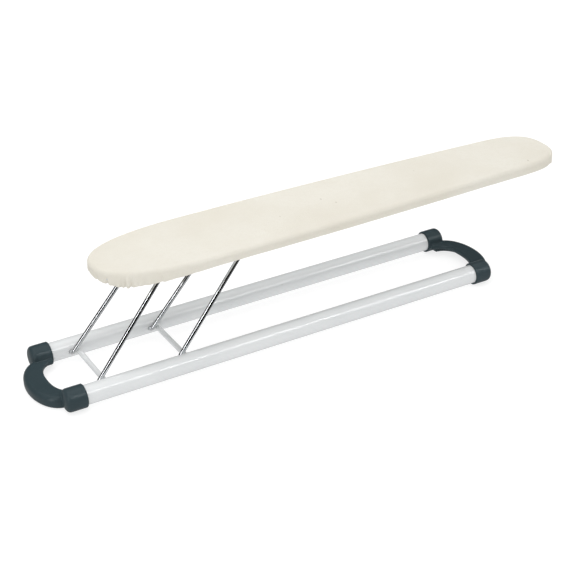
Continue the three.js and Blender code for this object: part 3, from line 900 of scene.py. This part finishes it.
def make_deck():
    """A pressed tray with soft edges, steam holes and rivet holes."""
    outside = COVER_THICKNESS + LAY_GAP
    inside = outside + DECK_THICKNESS
    rim = DECK_LOW[2] + RIM_TRIM
    outer_round, inner_round = DECK_EDGE_ROUND + DECK_THICKNESS, DECK_EDGE_ROUND
    section = [*arc(outside + outer_round, DECK_TOP - outer_round, outer_round, 90, 180, 6),
               (outside, rim), (inside, rim),
               *arc(inside + inner_round, DECK_UNDER - inner_round, inner_round, 180, 90, 5)]
    rings = outline_rings(BOARD_COLUMNS, section)
    points = [p for ring in rings for p in ring]
    deck = joined("pressed_deck", [(points, capped_faces(len(rings), BOARD_COLUMNS))])
    for places, radius, sides in ((steam_hole_places(), STEAM_HOLE_RADIUS, 32),
                                  (rivet_places(DECK_TOP - DECK_THICKNESS / 2), RIVET_RADIUS + FIT_GAP, 24)):
        spots = add_object("hole_places", places, [])
        run_tree(deck, PERFORATING_TREE, {
            "Places": spots, "Hole Radius": radius * MM, "Punch Depth": 3 * DECK_THICKNESS * MM,
            "Hole Sides": sides, "Finish": MATERIALS["deck_paint"]})
        bpy.data.objects.remove(spots)
    settle(deck)
    dress(deck, "deck_paint", "board", ["deck"])


def strap_section():
    """The strap's outline seen from a cross bar's axis."""
    within = WIRE_RADIUS + FIT_GAP
    around = within + CLIP_THICKNESS
    top = within - LAY_GAP
    under = top - CLIP_THICKNESS
    reach = around + CLIP_FOOT
    return [(-reach, under), (-around, under), *arc(0, 0, around, 180, 360, 24), (around, under),
            (reach, under), (reach, top), (within, top), *arc(0, 0, within, 360, 180, 24),
            (-within, top), (-reach, top)]


def make_clip(leg, top, side, sign):
    """A bent strap with rounded edges and a hole for each rivet."""
    section = strap_section()
    half = CLIP_WIDTH / 2
    points = [(top[0] + x, sign * CLIP_OFFSET + y, top[2] + z) for y in (-half, half) for x, z in section]
    clip = joined(f"bent_{leg}_leg_{side}_clip", [(points, capped_faces(2, len(section)))])
    holes = [rod("z", RIVET_RADIUS + FIT_GAP, -CLIP_THICKNESS * 2, CLIP_THICKNESS * 3,
                 (top[0] + reach, sign * CLIP_OFFSET, top[2]), 24) for reach in (RIVET_REACH, -RIVET_REACH)]
    boolean(clip, joined("holes", holes))
    soften = clip.modifiers.new("soften", "BEVEL")
    soften.width = 0.22 * MM
    soften.segments = 2
    soften.limit_method = "ANGLE"
    soften.angle_limit = math.radians(50)
    bake(clip)
    settle(clip, 30.0)
    dress(clip, "zinc_steel", "board", [f"{leg}_leg_{side}_clip"])


def make_rivets():
    """Domed rivets that hold the clips up to the deck."""
    head_top = WIRE_RADIUS + FIT_GAP - LAY_GAP - CLIP_THICKNESS - LAY_GAP
    shank_top = WIRE_RADIUS + FIT_GAP + DECK_THICKNESS - LAY_GAP
    dome = [(RIVET_HEAD_RADIUS * math.sin(k * math.pi / 16),
             head_top - RIVET_HEAD_HEIGHT * math.cos(k * math.pi / 16)) for k in range(9)]
    rivet = joined("rivet", [turned([*dome, (RIVET_RADIUS, head_top), (RIVET_RADIUS, shank_top),
                                     (0, shank_top)], "z", 32)])
    rivets = copies_at("clip_rivets", rivet, rivet_places(LEG_TOPS[0][2]), "zinc_steel")
    nodes = [f"{leg}_leg_{side}_rivet_{where}" for leg in ("near", "far") for side, _ in SIDES
             for where in ("ahead", "behind")]
    dress(rivets, "zinc_steel", "board", nodes)


make_deck()
for leg, top in zip(("near", "far"), LEG_TOPS):
    for side, sign in SIDES:
        make_clip(leg, top, side, sign)
make_rivets()


# ---------------------------------------------------------------- pad
def make_pad():
    """Felt, flat on the deck, with a soft rounded edge."""
    bottom = DECK_TOP + LAY_GAP
    top = bottom + PAD_THICKNESS
    edge = COVER_THICKNESS + LAY_GAP
    bend = COVER_ROUND - edge
    section = [(edge + bend + step, top) for step in (34, 20, 10, 4)]
    section += arc(edge + bend, top - bend, bend, 90, 180, 5)
    section += [(edge, bottom), (edge + 8, bottom)]
    rings = outline_rings(BOARD_COLUMNS, section)
    points = [p for ring in rings for p in ring]
    pad = joined("felt_pad", [(points, capped_faces(len(rings), BOARD_COLUMNS))])
    dress(pad, "pad_felt", "board", ["pad"])


# ---------------------------------------------------------------- cotton cover
COVER_COLUMNS = 1300
# Rings on top, as shares of the way from the board's spine to its edge.
TOP_SHARES = (0.0, 0.25, 0.5, 0.7, 0.84, 0.93, 0.975)
# The hem's slow wave: how far from the nose round the edge, and how much lower it hangs there.
HEM_LOWER_BY = ((0, 0.3), (15, 0.4), (30, 2.2), (43, 4.6), (54, 4.6), (67, 3.6), (93, 2.1), (120, 0.2),
                (148, -1.3), (190, -1.8), (400, -1.7), (500, -1.3), (555, -0.6), (600, 0.3), (700, 0.3))
# Pleats over the hem's tape: how far from the nose, half the pleat's width, and its push outwards.
PLEATS = ((49.0, 1.4, 1.9), (46.0, 1.1, -2.6), (52.2, 1.1, -2.8), (41.5, 1.2, -1.6), (38.2, 1.8, 0.9),
          (26.0, 1.3, -2.4), (29.5, 1.8, 1.1), (20.0, 2.2, 0.7), (12.0, 1.3, -1.3), (60.0, 1.6, -0.8),
          (66.0, 1.8, -1.1), (71.0, 2.4, 0.8), (85.0, 1.6, -1.5), (89.0, 2.2, 0.8), (101.0, 2.4, -0.8),
          (122.0, 2.0, -0.7), (614.0, 1.6, -1.1), (619.0, 2.0, 0.8), (631.0, 1.6, -1.0), (640.0, 2.2, 0.8))


def make_cover():
    """A cotton cover drawn tight over the pad, rolled over its edge and turned in under the rim."""
    places, outward, run, perimeter = outline(COVER_COLUMNS)
    spine_low, spine_high = NOSE_X + BOARD_HALF * 1.25, TIP_X - BOARD_HALF * 0.8
    bend = 1.2
    band_start, band_end = COVER_TOP - COVER_ROUND, HEM_BOTTOM + bend
    roll = arc(COVER_ROUND, band_start, COVER_ROUND, 90, 180, 6)
    band = [(0.0, band_start + (band_end - band_start) * k / 6) for k in range(1, 7)]
    turn = arc(bend, band_end, bend, 180, 270, 3)[1:]
    under = [(bend + (HEM_WIDTH - bend) * k / 5, HEM_BOTTOM) for k in range(1, 6)]
    section = [*roll, *band, *turn, *under]
    lengths = np.concatenate([[0], np.cumsum([math.dist(a, b) for a, b in zip(section, section[1:])])])
    points, pattern = [], []
    for share in TOP_SHARES:
        for place, n in zip(places, outward):
            edge = place - n * COVER_ROUND
            spine = np.array((min(max(edge[0], spine_low), spine_high), 0.0))
            spot = spine + (edge - spine) * share
            points.append([*spot, COVER_TOP])
            pattern.append(spot)
    for (inset, up), length in zip(section, lengths):
        for place, n in zip(places, outward):
            points.append([*(place - n * inset), up])
            pattern.append(place - n * COVER_ROUND + n * length)
    rows = len(TOP_SHARES) + len(section)
    points = np.array(points).reshape(rows, COVER_COLUMNS, 3)
    shape_cover(points, outward, run, perimeter, lengths)
    cover = add_object("cotton_cover", points.reshape(-1, 3), grid_faces(rows, COVER_COLUMNS))
    unfold(cover, np.array(pattern) * MM)
    settle(cover, 80.0)
    thicken = cover.modifiers.new("cloth_thickness", "SOLIDIFY")
    thicken.thickness = COVER_THICKNESS * MM
    thicken.offset = -1.0
    thicken.use_rim = True
    bake(cover)
    for polygon in cover.data.polygons:
        polygon.use_smooth = True
    return cover, points


def shape_cover(points, outward, run, perimeter, lengths):
    """Soft swell on top, slack and pleats in the band, gathers in the turned-in hem."""
    rows, columns = points.shape[:2]
    first = len(TOP_SHARES)
    mid_roll, band_foot = 3, 13
    hem_at, lower_by = zip(*HEM_LOWER_BY)
    for column in range(columns):
        distance = run[column]
        to_nose = min(distance, perimeter - distance)
        front = distance > perimeter / 2
        lower = float(np.interp(to_nose, hem_at, lower_by))
        slack = noise.noise(Vector((distance / 24.0, 1.0, SEED)))
        crease = noise.noise(Vector((distance / 3.6, 5.0, SEED)))
        gathered = max(1 - to_nose / 170.0, 1 - abs(to_nose - perimeter / 2) / 80.0, 0.12)
        shift = 0.0 if front else 3.0
        pleat = sum(push * math.exp(-((to_nose + shift - at) / half) ** 2) for at, half, push in PLEATS)
        n = outward[column]
        for row in range(rows):
            point = points[row, column]
            if row < first:
                swell = noise.noise(Vector((point[0] / 60.0, point[1] / 40.0, SEED)))
                point[2] += 0.3 * swell * (1 - TOP_SHARES[row] ** 4)
                continue
            length = lengths[row - first]
            on_band = smooth_step(length, lengths[mid_roll], lengths[band_foot])
            on_hem = smooth_step(length, lengths[band_foot], lengths[-1])
            point[2] -= lower * on_band
            push = on_band ** 1.5 * (0.3 * slack + 0.7 * gathered * crease + pleat) * (1 - on_hem)
            point[:2] += n * push
            if row - first > band_foot + 1:
                point[2] += max(0.2 * slack + 0.8 * gathered * crease + 0.4 * pleat, -1.0) * on_hem


def smooth_step(value, start, end):
    share = min(max((value - start) / (end - start), 0.0), 1.0)
    return share * share * (3 - 2 * share)


def unfold(obj, pattern):
    """Gives the cloth a map of how it lies unfolded, in metres."""
    layer = obj.data.uv_layers.new(name="cloth")
    corners = np.zeros(len(obj.data.loops), int)
    obj.data.loops.foreach_get("vertex_index", corners)
    layer.data.foreach_set("uv", pattern[corners].ravel())


def make_stitches(cover_points):
    """The run of stitches that holds the hem's channel, on its underside."""
    below = 0.12
    channel = cover_points[-3]
    line = channel - (0, 0, below)
    count = len(line)
    mesh = bpy.data.meshes.new("hem_stitches")
    mesh.from_pydata((line * MM).tolist(), [(k, (k + 1) % count) for k in range(count)], [])
    stitches = bpy.data.objects.new("hem_stitches", mesh)
    bpy.context.scene.collection.objects.link(stitches)
    run_tree(stitches, STITCHING_TREE, {
        "Pitch": 3.2 * MM, "Stitch Half Length": 1.15 * MM, "Thread Radius": 0.3 * MM,
        "Finish": MATERIALS["hem_thread"]})
    dress(stitches, "hem_thread", "board")
    return stitches


def cut_area():
    """The flat area that the cover was cut to: the top, its edge, the band and the hem."""
    places, _, _, perimeter = outline(COVER_COLUMNS)
    x, y = places[:, 0], places[:, 1]
    top = abs(np.dot(x, np.roll(y, -1)) - np.dot(y, np.roll(x, -1))) / 2
    depth = COVER_TOP - HEM_BOTTOM + HEM_WIDTH
    return (top + perimeter * depth) * MM * MM, depth


make_pad()
cover, cover_points = make_cover()
dress(cover, "cover_cotton", "board", ["cover"])
stitches = make_stitches(cover_points)
area, depth = cut_area()


# ---------------------------------------------------------------- camera, light and floor
def add_camera():
    """A long lens from above the near grip, a little rolled."""
    yaw, pitch, roll = (math.radians(a) for a in (28.99, 28.96, -1.66))
    ahead = Vector((math.sin(yaw) * math.cos(pitch), math.cos(yaw) * math.cos(pitch), -math.sin(pitch)))
    level = Vector((math.cos(yaw), -math.sin(yaw), 0))
    above = level.cross(ahead)
    right = level * math.cos(roll) + above * math.sin(roll)
    up = above * math.cos(roll) - level * math.sin(roll)
    data = bpy.data.cameras.new("camera")
    data.sensor_width = 36
    data.lens = 86.9
    camera = bpy.data.objects.new("camera", data)
    camera.matrix_world = Matrix((right, up, -ahead)).transposed().to_4x4()
    camera.location = Vector((NEAR_RIM - 410, -1245, AXIS_Z + 808)) * MM
    bpy.context.scene.collection.objects.link(camera)
    bpy.context.scene.camera = camera


def add_area_light(name, place, target, size, watts):
    data = bpy.data.lights.new(name, "AREA")
    data.shape = "RECTANGLE"
    data.size, data.size_y = size
    data.energy = watts
    lamp = bpy.data.objects.new(name, data)
    lamp.location = place
    lamp.rotation_mode = "QUATERNION"
    lamp.rotation_quaternion = (Vector(target) - Vector(place)).to_track_quat("-Z", "Y")
    lamp.visible_glossy = False
    bpy.context.scene.collection.objects.link(lamp)


def band_mask(tree, value, low, high, soft):
    """1 between low and high, fading over a soft edge."""
    above = tree.rise(value, low - soft, low + soft)
    below = tree.rise(value, high - soft, high + soft)
    return tree.math("SUBTRACT", above, below)


# How strongly matt surfaces and gloss see the room, and gloss its three lights.
PALE_ROOM, DIM_ROOM = 0.86, 0.008
LEFT_LIGHT, OVERHEAD_LIGHT, STRIP_LIGHT = 6.5, 0.8, 13.5
FLOOR_GLOW, FLOOR_GREY, FLOOR_GREY_IN_GLOSS = 0.78, 0.3, 0.03


def add_world():
    """White to the eye and pale to matt surfaces. Gloss sees a dim room with a soft light on the
    left, a wide one overhead and a long strip in front."""
    world = bpy.data.worlds.new("studio")
    bpy.context.scene.world = world
    world.use_nodes = True
    world.node_tree.nodes.clear()
    tree = Tree(world.node_tree)
    direction = tree.add("ShaderNodeTexCoord").outputs["Generated"]
    x, y, z = tree.add("ShaderNodeSeparateXYZ", {"Vector": direction}).outputs
    left = tree.math("MULTIPLY", tree.rise(x, -0.5, -0.6), band_mask(tree, y, -0.4, -0.26, 0.03))
    overhead = tree.rise(z, 0.7, 0.9)
    across_strip = tree.math("MULTIPLY_ADD", y, 1.035, z)
    strip = tree.math("MULTIPLY", band_mask(tree, across_strip, -0.07, 0.06, 0.02),
                      tree.math("MULTIPLY", tree.rise(x, 0.0, 0.1), tree.rise(y, 0.0, -0.2)))
    room = tree.math("MULTIPLY_ADD", left, LEFT_LIGHT, DIM_ROOM)
    room = tree.math("MULTIPLY_ADD", overhead, OVERHEAD_LIGHT, room)
    room = tree.math("MULTIPLY_ADD", strip, STRIP_LIGHT, room)
    rays = tree.add("ShaderNodeLightPath").outputs
    matt_or_gloss = tree.add("ShaderNodeMix", {"Factor": rays["Is Glossy Ray"]})
    tree.set(matt_or_gloss, 2, PALE_ROOM)
    tree.set(matt_or_gloss, 3, room)
    strength = tree.math("MAXIMUM", rays["Is Camera Ray"], matt_or_gloss.outputs[0])
    background = tree.add("ShaderNodeBackground", {"Strength": strength, "Color": rgba(1, 1, 1)})
    tree.add("ShaderNodeOutputWorld", {"Surface": background.outputs[0]})


def add_floor():
    """A pale table whose shadows stay faint, and that gloss sees darker towards the front."""
    half = 6000.0
    floor = add_object("floor", [(-half, -half, 0), (half, -half, 0), (half, half, 0), (-half, half, 0)],
                       [(0, 1, 2, 3)])
    material, tree, shader = new_material("studio_floor", (FLOOR_GREY,) * 3, 1.0)
    shader.inputs["Specular IOR Level"].default_value = 0.0
    shader.inputs["Emission Color"].default_value = rgba(1, 1, 1)
    rays = tree.add("ShaderNodeLightPath").outputs
    y = tree.add("ShaderNodeSeparateXYZ", {"Vector": tree.own_place()}).outputs["Y"]
    base = tree.math("MULTIPLY_ADD", rays["Is Glossy Ray"], FLOOR_GREY_IN_GLOSS - FLOOR_GREY, FLOOR_GREY)
    tree.links.new(base, shader.inputs["Base Color"])
    in_gloss = tree.math("MULTIPLY_ADD", tree.rise(y, -0.24, 0.04), 0.45, 0.01)
    strength = tree.add("ShaderNodeMix", {"Factor": rays["Is Glossy Ray"]})
    tree.set(strength, 2, FLOOR_GLOW)
    tree.set(strength, 3, in_gloss)
    tree.links.new(strength.outputs[0], shader.inputs["Emission Strength"])
    floor.data.materials.append(material)


add_camera()
add_world()
add_floor()
add_area_light("overhead", (-0.3, 0.1, 1.7), (0, 0, 0.05), (2.4, 1.2), 15)
view = bpy.context.scene.view_settings
view.view_transform = "Standard"
